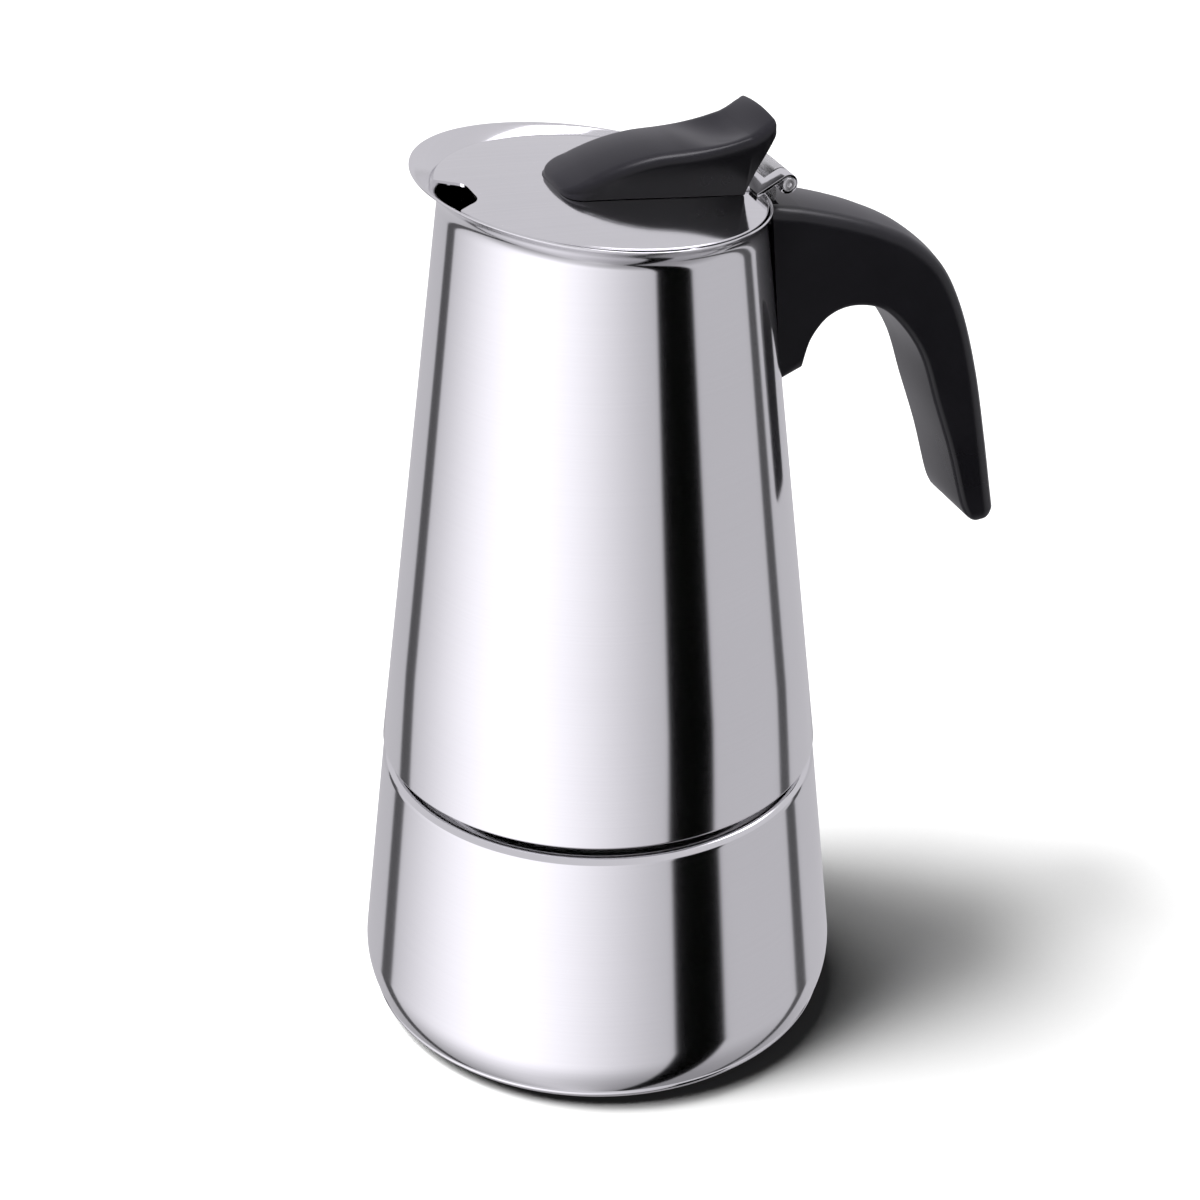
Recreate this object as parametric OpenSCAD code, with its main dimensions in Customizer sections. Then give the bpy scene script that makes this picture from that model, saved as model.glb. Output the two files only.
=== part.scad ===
// Stovetop moka pot: a boiler, a funnel for the grounds and a jug that screws on top.
// Millimetres. The origin is the middle of the base, +Z is up, the handle points along +X,
// the spout along -X, and the pin of the lid's hinge lies along Y.

/* [Boiler] */
// Radius of the boiler at its widest ring
boiler_r = 50; // [47:0.5:54]
// Height of the widest ring above the table
boiler_wide_z = 11; // [10:0.5:14]
// Radius of the rounded corner under the widest ring
boiler_corner_r = 11.5; // [10.5:0.5:13]
// Radius of the boiler at its shoulder
boiler_top_r = 45.1; // [44:0.1:47]
// Height of the boiler's shoulder above the table
boiler_h = 59.5; // [55:0.5:75]
// Radius of the shoulder's rounded edge
shoulder_r = 1.5; // [1:0.1:2.5]
// Thickness of the pressed steel sheet
sheet = 0.9; // [0.7:0.1:1.2]
// Radius of the base capsule
foot_r = 44.5; // [43:0.1:44.6]
// Height of the base capsule's visible band
foot_h = 1.5; // [1.2:0.1:2.5]
// Thickness of the capsule's sheet
foot_sheet = 0.6; // [0.4:0.1:0.8]
// Radius of the recess that the heat spreader fills
core_r = 41; // [36:0.5:42]
// Height of the heat spreader's top above the table
core_top = 3; // [2.6:0.1:4]

/* [Threaded mouth] */
// Step from the jug's lower edge in to the root of the neck's thread
neck_step = 6.9; // [6:0.1:8.5]
// Thickness of the neck's wall
neck_wall = 1.2; // [1:0.1:1.6]
// Height of the neck above the shoulder
neck_h = 11; // [10:0.5:14]
// Room for the thread between the neck and the jug's collar
thread_room = 1.2; // [1:0.1:1.4]
// Thickness of the jug's collar
collar_wall = 1.6; // [1.2:0.1:2]
// Rise of the jug in one turn of the thread
thread_pitch = 3.8; // [3:0.1:5]
// Turns that free the jug
thread_turns = 2; // [1:0.5:3]

/* [Safety valve] */
// Height of the valve's axis above the table
valve_z = 44; // [38:1:48]
// Radius of the welded bush
bush_r = 8; // [7:0.5:9]
// Length of the welded bush
bush_len = 4; // [3.5:0.5:5]
// Radius of the valve's threaded shank
shank_r = 4.5; // [4:0.1:5.5]
// Width of the valve's hexagon across its flats
hex_af = 12; // [11.5:0.5:14]
// Height of the valve's hexagon
hex_h = 4; // [3:0.5:5]
// Radius of the valve's chamber
chamber_r = 2.6; // [2.2:0.1:3]
// Length of the room for the valve's spring
spring_len = 7.5; // [6:0.1:9]
// Radius of the valve pin's stem
stem_pin_r = 0.95; // [0.8:0.05:1.1]
// Travel of the valve pin
valve_travel = 1.5; // [1:0.1:2]
// Diameter of the spring's wire
spring_wire = 0.5; // [0.4:0.05:0.6]
// Turns of the spring
spring_turns = 6; // [4:1:8]

/* [Funnel] */
// Depth of the basket for the grounds
basket_depth = 18; // [14:0.5:24]
// Height of the cone under the basket
cone_h = 10; // [7:0.5:12]
// Outer radius of the funnel's stem
stem_r = 5; // [4.5:0.1:6]
// Thickness of the funnel's sheet
funnel_sheet = 0.7; // [0.6:0.1:0.9]
// Gap between the stem's end and the boiler's floor
stem_gap = 4; // [3:0.5:8]
// Thickness of a perforated plate
plate_t = 0.7; // [0.5:0.1:0.9]
// Radius of a hole in a perforated plate
hole_r = 0.8; // [0.6:0.05:1]
// Spacing of the holes in a perforated plate
hole_step = 5.6; // [5:0.1:7]

/* [Seal] */
// Height of the seal ring
seal_h = 3.5; // [3:0.1:4.5]
// Width of the seal ring
seal_w = 7.9; // [6.5:0.1:10]
// Depth of the groove that holds the filter plate
groove = 1.5; // [1:0.1:2]

/* [Jug] */
// Gap between the boiler's shoulder and the jug's edge
waist_gap = 2; // [1.5:0.1:3]
// Step from the boiler's shoulder in to the jug's lower edge
jug_step = 0.2; // [0:0.1:1]
// Radius of the jug at the lid
jug_top_r = 30.9; // [30.5:0.1:32]
// Height from the jug's lower edge to the middle of the lid
jug_h = 119.4; // [105:0.2:135]
// Tilt of the lid and the rim towards the handle
rim_tilt = 5.3; // [3:0.1:7]
// Height of the coffee column's top above the jug's floor
riser_h = 73; // [60:1:80]
// Outer radius of the column at its foot
riser_foot_r = 6.5; // [6:0.1:8]
// Outer radius of the column at its top
riser_top_r = 5.5; // [5:0.1:6]
// Radius of the column's outlet cap
cap_r = 7.5; // [7:0.1:9]
// Height of the column's outlet cap
cap_h = 10; // [8:0.5:12]

/* [Rim and lid] */
// Depth below the lid at which the rim starts to flare
flare_depth = 4.8; // [4.2:0.1:5.2]
// Reach of the rim's edge beyond the jug's top beside the hinge
rim_out = 1.3; // [1.1:0.1:1.5]
// Reach of the pouring lip beyond the jug's top at its widest
lip_out = 6; // [4:0.1:7]
// Height of the rim's edge above the lid beside the hinge
rim_back_z = -0.4; // [-0.8:0.1:0]
// Height of the lip's edge above the lid at the spout
lip_z = 2.5; // [1.5:0.1:3.5]
// Reach of the lid's edge beyond the jug's top
lid_out = 0.5; // [0:0.1:0.6]
// Height of the lid's edge above the jug's top
lid_up = 0.4; // [0:0.1:0.6]
// Thickness of the lid
lid_t = 0.8; // [0.6:0.1:1]
// Rise of the lid's middle above its edge
lid_crown = 0.8; // [0.4:0.1:1.2]
// Depth of the lid's locating skirt
skirt_h = 2.6; // [1.5:0.1:3]
// Step from the jug's top in to the lid's locating skirt
skirt_in = 1.7; // [1.6:0.1:3]
// Width of the pouring notch at the lid's edge
notch_w = 16.6; // [12:0.2:20]
// Depth of the pouring notch
notch_d = 5.6; // [4:0.1:7]

/* [Hinge] */
// Distance of the pin beyond the jug's top
pin_out = 3.9; // [3.7:0.1:4.7]
// Height of the pin above the middle of the lid
pin_up = -0.3; // [-0.5:0.1:0.5]
// Radius of the hinge pin
pin_r = 1.3; // [1.1:0.05:1.5]
// Thickness of the lid leaf's sheet
leaf_t = 0.6; // [0.5:0.05:0.8]
// Distance of the leaf's root, under the knob, from the hinge pin
leaf_root_back = 21.8; // [18:0.2:23]
// Distance of the leaf's bend from the hinge pin
leaf_bend_back = 6.1; // [5.6:0.1:6.6]
// Half the width of the leaf's flat part under the knob
tongue_half_w = 5; // [4:0.1:6]
// Thickness of the bracket's sheet
strap_t = 1; // [0.8:0.1:1.2]
// Half the width of the hinge over its outer knuckles
hinge_half_w = 8.6; // [7.5:0.1:9]
// Width of one outer knuckle
knuckle_w = 3.8; // [3:0.1:4.5]
// Gap between neighbouring knuckles
knuckle_gap = 0.3; // [0.2:0.05:0.5]
// Half the width of the strap on the jug's wall
strap_half_w = 6; // [5:0.5:6.5]
// Depth of the strap's foot below the lid
strap_drop = 31; // [28:0.5:34]
// Depth of the bracket's tab below the lid
tab_drop = 20.5; // [18:0.5:23]
// Depth of the strap's bend below the pin
bend_drop = 8.5; // [7.5:0.5:10]

/* [Handle] */
// Width of the handle
handle_w = 18; // [15:0.5:22]
// Radius of the handle's outer edges
handle_edge_r = 3; // [2:0.1:3.5]
// Radius of the handle's inner edges
handle_inner_r = 1.2; // [0.8:0.1:2]
// Rise of the handle's outer face at its middle
handle_crown = 0.5; // [0.3:0.1:1.2]
// Radius of the handle's screw
handle_screw_r = 2; // [1.5:0.1:2.5]
// Distance of the handle's screw beyond the jug's top
handle_screw_out = 12.6; // [11.6:0.5:14.6]
// Depth of the seat of the handle's screw below the lid
screw_seat_drop = 27.1; // [26.1:0.5:28.1]

/* [Knob] */
// Scale of the knob's height
knob_rise = 1; // [0.85:0.05:1.1]
// Radius of the edges along the knob's back
knob_round = 2.4; // [1.6:0.1:3]
// Rise of the knob's back at its middle
knob_crown = 0.5; // [0.3:0.1:1]
// Radius of a knob screw
knob_screw_r = 1.6; // [1.2:0.1:2]
// Length of a knob screw under its head
knob_screw_len = 5.5; // [4.5:0.5:6]
// Distance of the front knob screw from the hinge pin
front_screw_back = 30.8; // [28.8:0.5:32.8]
// Distance of the rear knob screw from the hinge pin
rear_screw_back = 15.8; // [13.8:0.5:18.8]

/* [Clearances] */
// Gap between a part and the seat that it lifts off
seat_gap = 0.2; // [0.1:0.05:0.4]
// Gap beside a part that slides into another
side_gap = 0.3; // [0.2:0.05:0.5]
// Gap round a part that is pressed, welded or screwed in
fixed_gap = 0.05; // [0.02:0.01:0.1]
// Gap between the lid and what is screwed onto it
lid_seat = 0.1; // [0.05:0.05:0.2]
// Radial clearance round a moving pin
running_gap = 0.05; // [0.03:0.01:0.08]

/* [Hidden] */
$fn = 96;

// Radii of the jug's lower edge and of the neck, from the boiler's shoulder
jug_foot_r = boiler_top_r - jug_step;
neck_r = jug_foot_r - neck_step;

// Heights up the stack, from the boiler's mouth to the lid
mouth_z = boiler_h + neck_h;
mouth_r = neck_r - neck_wall;
flange_z = mouth_z + seat_gap;
seal_z = flange_z + funnel_sheet + seat_gap;
floor_z = seal_z + seal_h + seat_gap;
floor_top = floor_z + sheet;
jug_z = boiler_h + waist_gap;
lid_z = jug_z + jug_h;
pin_z = lid_z + pin_up;

// The boiler's taper, and where its corner starts and ends
boiler_taper = atan((boiler_r - boiler_top_r) / (boiler_h - boiler_wide_z));
corner_c = [boiler_r - boiler_corner_r, boiler_wide_z];
corner_start = -asin((boiler_wide_z - foot_h) / boiler_corner_r);

// The jug's cone
jug_slope = (jug_foot_r - jug_top_r) / jug_h;
function jug_r(z) = jug_foot_r - jug_slope * (z - jug_z);
function boiler_wall_r(z) = boiler_r - tan(boiler_taper) * (z - boiler_wide_z);

// Places that follow the jug's top
rim_back_r = jug_top_r + rim_out;
lip_r = jug_top_r + lip_out;
lid_r = jug_top_r + lid_out;
skirt_r = jug_top_r - skirt_in;
pin_x = jug_top_r + pin_out;
handle_screw_x = jug_top_r + handle_screw_out;
screw_seat_z = lid_z - screw_seat_drop;
screw_places = [pin_x - front_screw_back, pin_x - rear_screw_back];

// The hinge's knuckles
knuckle_in_r = pin_r + running_gap;
knuckle_r = knuckle_in_r + leaf_t;
middle_half_w = hinge_half_w - knuckle_w - knuckle_gap;
leaf_rise = 31;

// Rounds and shapes that several parts use
function arc(c, r, a0, a1, n = 8) =
    [for (i = [0:n]) let (a = a0 + (a1 - a0) * i / n) c + r * [cos(a), sin(a)]];

function curve(a, b, c, d, t) =
    0.5 * (2 * b + (c - a) * t + (2 * a - 5 * b + 4 * c - d) * t * t
           + (3 * b - a - 3 * c + d) * t * t * t);

function smooth(p, steps) = let (last = len(p) - 1)
    [for (i = [0:last - 1]) for (k = [0:steps - 1])
        curve(p[max(i - 1, 0)], p[i], p[i + 1], p[min(i + 2, last)], k / steps), p[last]];

function mirrored(half) =
    concat(half, [for (i = [len(half) - 1:-1:0]) [-half[i][0], half[i][1]]]);

module loft(rings) {
    n = len(rings[0]);
    m = len(rings);
    sides = [for (j = [0:m - 2]) for (i = [0:n - 1]) let (k = (i + 1) % n)
        each [[j * n + i, (j + 1) * n + i, (j + 1) * n + k], [j * n + i, (j + 1) * n + k, j * n + k]]];
    polyhedron(points = [for (r = rings) each r],
               faces = concat(sides, [[for (i = [0:n - 1]) i]],
                              [[for (i = [n - 1:-1:0]) (m - 1) * n + i]]));
}

module tube(r_out, r_in, h) {
    difference() {
        cylinder(r = r_out, h = h);
        translate([0, 0, -1]) cylinder(r = r_in, h = h + 2);
    }
}

// A solid cone that stands off the jug's wall by a gap
module wall_cone(z0, z1, gap) {
    translate([0, 0, z0]) cylinder(r1 = jug_r(z0) + gap, r2 = jug_r(z1) + gap, h = z1 - z0);
}

module on_lid() {
    translate([0, 0, lid_z]) rotate([0, rim_tilt, 0]) children();
}

// Height of the domed lid's top above the jug's top, at a distance from its middle
function dome(r) = lid_up + lid_crown * (1 - pow(r / lid_r, 2));

module along_valve(from = 0) {
    translate([0, valve_y + from, valve_z]) rotate([-90, 0, 0]) children();
}

// A plate with rings of holes, kept clear of its edge
module perforated(r, t) {
    rings = floor((r - 2 * hole_r) / hole_step);
    difference() {
        cylinder(r = r, h = t);
        translate([0, 0, -1]) cylinder(r = hole_r, h = t + 2, $fn = 16);
        for (i = [1:rings], k = [0:6 * i - 1])
            rotate([0, 0, 60 * k / i]) translate([i * hole_step, 0, -1])
                cylinder(r = hole_r, h = t + 2, $fn = 16);
    }
}

// ---- Boiler ----

module boiler_shell() color("silver") {
    wall_top = boiler_h - shoulder_r;
    shoulder_c = [boiler_top_r - shoulder_r, wall_top];
    outer = concat([[0, core_top], [core_r, core_top], [core_r + core_top - foot_h, foot_h]],
                   arc(corner_c, boiler_corner_r, corner_start, boiler_taper),
                   arc(shoulder_c, shoulder_r, boiler_taper, 90, 6),
                   [[neck_r + sheet, boiler_h], [neck_r, boiler_h + sheet], [neck_r, mouth_z]]);
    inner = concat([[mouth_r, mouth_z], [mouth_r, boiler_h - sheet]],
                   arc(shoulder_c, shoulder_r - sheet, 90, boiler_taper, 4),
                   arc(corner_c, boiler_corner_r - sheet, boiler_taper, corner_start + 9),
                   [[core_r + core_top - foot_h, foot_h + sheet + 0.3],
                    [core_r - sheet, core_top + sheet], [0, core_top + sheet]]);
    difference() {
        rotate_extrude() polygon(concat(outer, inner));
        along_valve(-4) cylinder(r = bush_r + fixed_gap, h = bush_len + 8);
    }
}

module heat_spreader() color("gainsboro")
    rotate_extrude()
        polygon([[0, foot_sheet], [foot_r - foot_sheet - fixed_gap, foot_sheet],
                 [foot_r - foot_sheet - fixed_gap, foot_h], [core_r - side_gap, foot_h],
                 [core_r - side_gap, core_top], [0, core_top]]);

module base_cap() color("silver")
    rotate_extrude()
        polygon(concat([[0, 0]], arc([foot_r - foot_sheet, foot_sheet], foot_sheet, -90, 0, 5),
                       [[foot_r, foot_h], [foot_r - foot_sheet, foot_h],
                        [foot_r - foot_sheet, foot_sheet], [0, foot_sheet]]));

// ---- Safety valve, on the boiler's +Y side ----

bush_out = 0.9;
valve_y = boiler_wall_r(valve_z) + bush_out;
washer_t = 1;
washer_r = hex_af / 2 + 1;
shank_in = 3;
seat_t = 1;
poppet_r = chamber_r - side_gap;
poppet_h = 1.6;
valve_cap_t = 1.2;
body_in = -(bush_len + shank_in);
chamber_in = body_in + seat_t;
spring_in = chamber_in + seat_gap + poppet_h + side_gap;
spring_out = spring_in + spring_len;
chamber_out = spring_out + side_gap + valve_cap_t;

module valve_bush() color("silver")
    along_valve(-bush_len) tube(bush_r, shank_r + fixed_gap, bush_len);

module valve_washer() color("tomato")
    along_valve(fixed_gap) tube(washer_r, shank_r + side_gap, washer_t - 2 * fixed_gap);

module valve_body() color("goldenrod") along_valve() {
    turned_r = chamber_r + 1.4;
    difference() {
        union() {
            rotate_extrude()
                polygon([[0, body_in], [shank_r - 0.5, body_in], [shank_r, body_in + 0.5],
                         [shank_r, washer_t + 0.5], [turned_r, washer_t + 0.5],
                         [turned_r, chamber_out - 0.4], [turned_r - 0.4, chamber_out],
                         [0, chamber_out]]);
            translate([0, 0, washer_t]) cylinder(r = hex_af / sqrt(3), h = hex_h, $fn = 6);
        }
        rotate_extrude()
            polygon([[0, body_in - 1], [stem_pin_r + 0.5, body_in - 1],
                     [stem_pin_r + 0.5, chamber_in], [chamber_r, chamber_in],
                     [chamber_r, chamber_out + 1], [0, chamber_out + 1]]);
    }
}

module valve_cap() color("goldenrod")
    along_valve(chamber_out - valve_cap_t)
        tube(chamber_r - fixed_gap, stem_pin_r + running_gap, valve_cap_t);

module valve_pin() color("darkgoldenrod") {
    along_valve(chamber_in + seat_gap) cylinder(r = poppet_r, h = poppet_h);
    along_valve(chamber_in + seat_gap)
        cylinder(r = stem_pin_r, h = chamber_out + valve_travel - chamber_in - seat_gap);
}

// The spring's wire follows a helix, drawn as a ring of six points every 20 degrees
module valve_spring() color("dimgray") {
    wire = spring_wire / 2;
    coil_r = (stem_pin_r + chamber_r) / 2;
    rise = spring_out - spring_in - spring_wire;
    steps = spring_turns * 18;
    along_valve(spring_in + wire)
        loft([for (i = [0:steps]) let (a = i * 20)
            [for (k = [0:5]) let (b = -60 * k, r = coil_r + wire * cos(b))
                [r * cos(a), r * sin(a), rise * i / steps + wire * sin(b)]]]);
}

// ---- Funnel ----

basket_r = mouth_r - side_gap;
basket_in_r = basket_r - funnel_sheet;
basket_z = flange_z + funnel_sheet - basket_depth;
cone_z = basket_z - cone_h;
stem_z = core_top + sheet + stem_gap;
stem_seat_r = stem_r + fixed_gap;
stem_collar_h = 4;

module funnel_basket() color("silver")
    rotate_extrude()
        polygon([[neck_r, flange_z], [neck_r, flange_z + funnel_sheet],
                 [basket_in_r, flange_z + funnel_sheet], [basket_in_r, basket_z],
                 [stem_seat_r, cone_z], [stem_seat_r, cone_z - stem_collar_h],
                 [stem_seat_r + funnel_sheet, cone_z - stem_collar_h],
                 [stem_seat_r + funnel_sheet, cone_z - funnel_sheet / 2],
                 [basket_r, basket_z - funnel_sheet / 2], [basket_r, flange_z]]);

module funnel_strainer() color("lightgray")
    translate([0, 0, basket_z]) perforated(basket_in_r - fixed_gap, plate_t);

module funnel_stem() color("silver")
    translate([0, 0, stem_z]) tube(stem_r, stem_r - funnel_sheet, cone_z - stem_z);

// ---- Seal, held in the jug's collar ----

collar_in_r = neck_r + thread_room;
seal_r = collar_in_r - side_gap;
seal_in_r = seal_r - seal_w;
plate_z = seal_z + 0.8;
plate_r = seal_in_r + groove;

module seal_ring() color("whitesmoke")
    rotate_extrude()
        polygon([[seal_in_r, seal_z], [seal_r - 0.3, seal_z], [seal_r, seal_z + 0.3],
                 [seal_r, seal_z + seal_h - 0.3], [seal_r - 0.3, seal_z + seal_h],
                 [seal_in_r, seal_z + seal_h], [seal_in_r, plate_z + plate_t],
                 [plate_r + fixed_gap, plate_z + plate_t], [plate_r + fixed_gap, plate_z],
                 [seal_in_r, plate_z]]);

module filter_plate() color("lightgray")
    translate([0, 0, plate_z]) perforated(plate_r, plate_t);

// ---- Jug ----

hem = 1.4;
collar_h = floor_z - mouth_z + thread_pitch * thread_turns;

// Distance from the lid's axis to the jug's wall, in the lid's frame at height h
function wall_rho(a, h, rho, n = 5) = n == 0 ? rho :
    let (x = rho * cos(a) * cos(rim_tilt) + h * sin(rim_tilt), y = rho * sin(a),
         z = lid_z - rho * cos(a) * sin(rim_tilt) + h * cos(rim_tilt))
    wall_rho(a, h, rho * jug_r(z) / norm([x, y]), n - 1);

// Stations round the rim, from the hinge to the spout: angle, then how far the edge has
// gone from its radius and its height beside the hinge to those of the lip
rim_stations = [[0, 0, 0], [20, 0, 0.07], [40, 0.04, 0.24], [60, 0.24, 0.45], [80, 0.6, 0.57],
                [100, 0.9, 0.66], [120, 1, 0.78], [140, 0.94, 0.9], [160, 0.84, 0.98], [180, 0.8, 1]];

// One section of the rim: a sheet a little thinner than the wall, which starts inside the
// wall's top, goes up and bends out to its edge
rim_inset = 0.1;
function rim_section(a, s) =
    let (rho = wall_rho(a, -flare_depth, jug_top_r), steps = 6, t_rim = sheet - 2 * rim_inset,
         edge = [rim_back_r + s[1] * (lip_r - rim_back_r), rim_back_z + s[2] * (lip_z - rim_back_z)],
         in_r = rho - sheet + rim_inset, foot = [in_r, -flare_depth],
         turn = [in_r, edge[1] - 0.3 * (edge[0] - rho) - 1.9 + 0.4 * s[1]],
         up = turn - foot, out = edge - turn,
         path = [for (k = [0:steps]) let (t = k / steps) foot + 2 * up * t * (1 - t) + (edge - foot) * t * t],
         back = [for (k = [steps:-1:0]) let (t = k / steps, g = up * (1 - t) + out * t)
                     path[k] + t_rim * [g[1], -g[0]] / norm(g)],
         root = -flare_depth - 0.4)
    [for (p = concat([[in_r, root]], path, back, [[in_r + t_rim, root]]))
        [p[0] * cos(a), p[0] * sin(a), p[1]]];

// The rim's sections joined into a closed ring
module rim() {
    half = smooth(rim_stations, 4);
    last = len(half) - 1;
    rings = concat([for (i = [0:last]) rim_section(half[i][0], half[i])],
                   [for (i = [last - 1:-1:1]) rim_section(-half[i][0], half[i])]);
    m = len(rings);
    n = len(rings[0]);
    polyhedron(points = [for (r = rings) each r],
               faces = [for (j = [0:m - 1]) for (i = [0:n - 1]) let (k = (i + 1) % n, q = (j + 1) % m)
                   each [[j * n + i, q * n + i, q * n + k], [j * n + i, q * n + k, j * n + k]]]);
}

module jug_body() color("silver") {
    top = lid_z + 12;
    difference() {
        rotate_extrude()
            polygon([[jug_foot_r, jug_z], [jug_r(top), top], [jug_r(top) - sheet, top],
                     [jug_r(jug_z + sheet) - sheet, jug_z + sheet],
                     [jug_foot_r - sheet - hem, jug_z + sheet], [jug_foot_r - sheet - hem, jug_z]]);
        on_lid() translate([0, 0, -flare_depth]) cylinder(r = boiler_r, h = boiler_r);
    }
    on_lid() rim();
}

module jug_floor() color("silver") {
    wall_in = jug_r(floor_top) - sheet - fixed_gap;
    flange_h = 3;
    flange_in = jug_r(floor_top + flange_h) - sheet - fixed_gap;
    rotate_extrude()
        polygon([[riser_foot_r + fixed_gap, floor_z], [jug_r(floor_z) - sheet - fixed_gap - 1, floor_z],
                 [wall_in, floor_top], [flange_in, floor_top + flange_h],
                 [flange_in - sheet, floor_top + flange_h], [wall_in - sheet - 1, floor_top],
                 [riser_foot_r + fixed_gap, floor_top]]);
}

module thread_collar() color("silver")
    translate([0, 0, floor_z - collar_h]) tube(collar_in_r + collar_wall, collar_in_r, collar_h);

riser_wall = 0.8;
riser_top = floor_top + riser_h;
riser_flare = 5;

module riser_tube() color("silver")
    rotate_extrude()
        polygon([[riser_foot_r - riser_wall, floor_z], [riser_foot_r, floor_z],
                 [riser_foot_r, floor_top], [riser_foot_r + 2.5, floor_top],
                 [riser_foot_r, floor_top + riser_flare],
                 [riser_top_r, riser_top - cap_h], [riser_top_r, riser_top],
                 [riser_top_r - riser_wall, riser_top], [riser_top_r - riser_wall, riser_top - cap_h],
                 [riser_foot_r - riser_wall, floor_top + riser_flare]]);

// A domed cap with four outlet slots, gripping the top of the column
module riser_cap() color("silver") {
    grip_r = riser_top_r + fixed_gap;
    grip_z = riser_top - cap_h / 2;
    slot_z = riser_top + 0.5;
    top = riser_top + cap_h / 2;
    difference() {
        rotate_extrude()
            polygon([[grip_r, grip_z], [grip_r + riser_wall, grip_z],
                     [cap_r, grip_z + cap_h / 3], [cap_r, top - 1], [cap_r - 2, top], [0, top],
                     [0, top - riser_wall], [cap_r - riser_wall - 1.2, top - riser_wall],
                     [cap_r - riser_wall, top - 1.2], [cap_r - riser_wall, slot_z - 2],
                     [grip_r, slot_z - 2.5]]);
        for (a = [0:90:270])
            rotate([0, 0, a + 45]) translate([grip_r - 1, -1.6, slot_z]) cube([cap_r, 3.2, 2.6]);
    }
}

// ---- Hinge ----

tab_z = lid_z - tab_drop;
tab_t = 2;
tab_end_x = handle_screw_x + 4;
wall_gap = 0.15;
strap_foot_z = lid_z - strap_drop;

// The strap stands on the jug's wall, passes outside the rim and ends in the middle knuckle
module hinge_bracket() color("silver") {
    bend_z = pin_z - bend_drop;
    low = [jug_r(strap_foot_z) + wall_gap, strap_foot_z];
    mid = [jug_r(bend_z) + wall_gap, bend_z];
    rim = [pin_x - knuckle_r + 0.3, pin_z - 3.4];
    top = [pin_x - knuckle_r + 0.3, pin_z - 0.6];
    difference() {
        union() {
            rotate([90, 0, 0]) linear_extrude(2 * strap_half_w, center = true)
                polygon([low, mid, mid + [strap_t, 0], low + [strap_t, 0]]);
            rotate([90, 0, 0]) linear_extrude(2 * middle_half_w, center = true)
                polygon([mid - [0, 0.5], rim, top, top + [strap_t, 0], rim + [strap_t, -0.2],
                         mid + [strap_t, -0.5]]);
            translate([jug_r(tab_z), -strap_half_w + 1, tab_z])
                cube([tab_end_x - jug_r(tab_z), 2 * strap_half_w - 2, tab_t]);
            translate([pin_x, middle_half_w, pin_z]) rotate([90, 0, 0])
                cylinder(r = knuckle_r, h = 2 * middle_half_w);
        }
        translate([pin_x, middle_half_w + 1, pin_z]) rotate([90, 0, 0])
            cylinder(r = pin_r + 0.02, h = 2 * middle_half_w + 2);
        translate([handle_screw_x, 0, tab_z - 1])
            cylinder(r = handle_screw_r + fixed_gap, h = tab_t + 2);
        wall_cone(tab_z - 5, tab_z + 5, fixed_gap);
    }
}

module hinge_pin() color("lightgray")
    translate([pin_x, hinge_half_w + 0.4, pin_z]) rotate([90, 0, 0])
        cylinder(r = pin_r, h = 2 * hinge_half_w + 0.8);

// ---- Handle ----

// Stations along the handle: the inner point, then the outer one, as distance beyond the
// jug's top and height above the lid. The root lies inside the jug's wall, and the tip
// rounds the free end.
grip = [[8.3, -39.2, 7.1, -5.4], [10.0, -33.6, 12.8, -7.0], [13.7, -29.3, 18.9, -9.0],
        [18.9, -27.8, 25.3, -11.6], [25.3, -29.3, 32.5, -15.5], [30.6, -34.3, 39.4, -22.1],
        [35.1, -41.6, 44.5, -32.2], [38.7, -52.2, 48.7, -46.2], [42.7, -63.7, 51.9, -61.4],
        [46.1, -75.5, 54.4, -74.9], [47.7, -79.1, 55.1, -78.6]];
grip_root = [3.6, -41.2, 0.6, -4.1];
grip_tip = [49.5, -81.4, 54.4, -81.0];

// One section: inner edges of one radius, outer edges of another, and a crowned outer face
function grip_half(d, w) = let (ri = min(handle_inner_r, d / 4), ro = min(handle_edge_r, d / 2.5))
    concat(arc([w - ri, ri], ri, -90, 0, 3),
           arc([w - ro, d - handle_crown - ro], ro, 0, 80, 5), [[w * 0.35, d]]);

function grip_ring(s, w) =
    let (i = [jug_top_r + s[0], lid_z + s[1]], o = [jug_top_r + s[2], lid_z + s[3]],
         d = norm(o - i), u = (o - i) / d)
    [for (p = mirrored(grip_half(d, w))) let (q = i + u * p[1]) [q[0], p[0], q[1]]];

module handle() color([0.09, 0.09, 0.1]) {
    half = handle_w / 2;
    rings = concat([grip_ring(grip_root, half)], [for (s = smooth(grip, 3)) grip_ring(s, half)],
                   [grip_ring(grip_tip, half - 1.5)]);
    slot_w = strap_half_w + side_gap;
    slot_x = strap_t + side_gap + 0.2;
    difference() {
        loft(rings);
        wall_cone(jug_z + 60, jug_z + 130, wall_gap);
        on_lid() translate([0, 0, -flare_depth - 0.8])
            cylinder(r = rim_back_r + sheet + side_gap, h = 20);
        rotate([90, 0, 0]) linear_extrude(2 * slot_w, center = true)
            polygon([[0, strap_foot_z - side_gap],
                     [jug_r(strap_foot_z) + slot_x, strap_foot_z - side_gap],
                     [jug_r(lid_z - 10) + slot_x, lid_z - 10],
                     [pin_x + side_gap, lid_z + 5], [0, lid_z + 5]]);
        translate([jug_r(tab_z), -slot_w + 1, tab_z - wall_gap])
            cube([tab_end_x + wall_gap - jug_r(tab_z), 2 * slot_w - 2, tab_t + 2 * wall_gap]);
        translate([handle_screw_x, 0, tab_z - 20]) cylinder(r = handle_screw_r + 0.1, h = 28);
        translate([handle_screw_x, 0, screw_seat_z - 20]) cylinder(r = handle_screw_r * 1.8, h = 20);
    }
}

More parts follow.
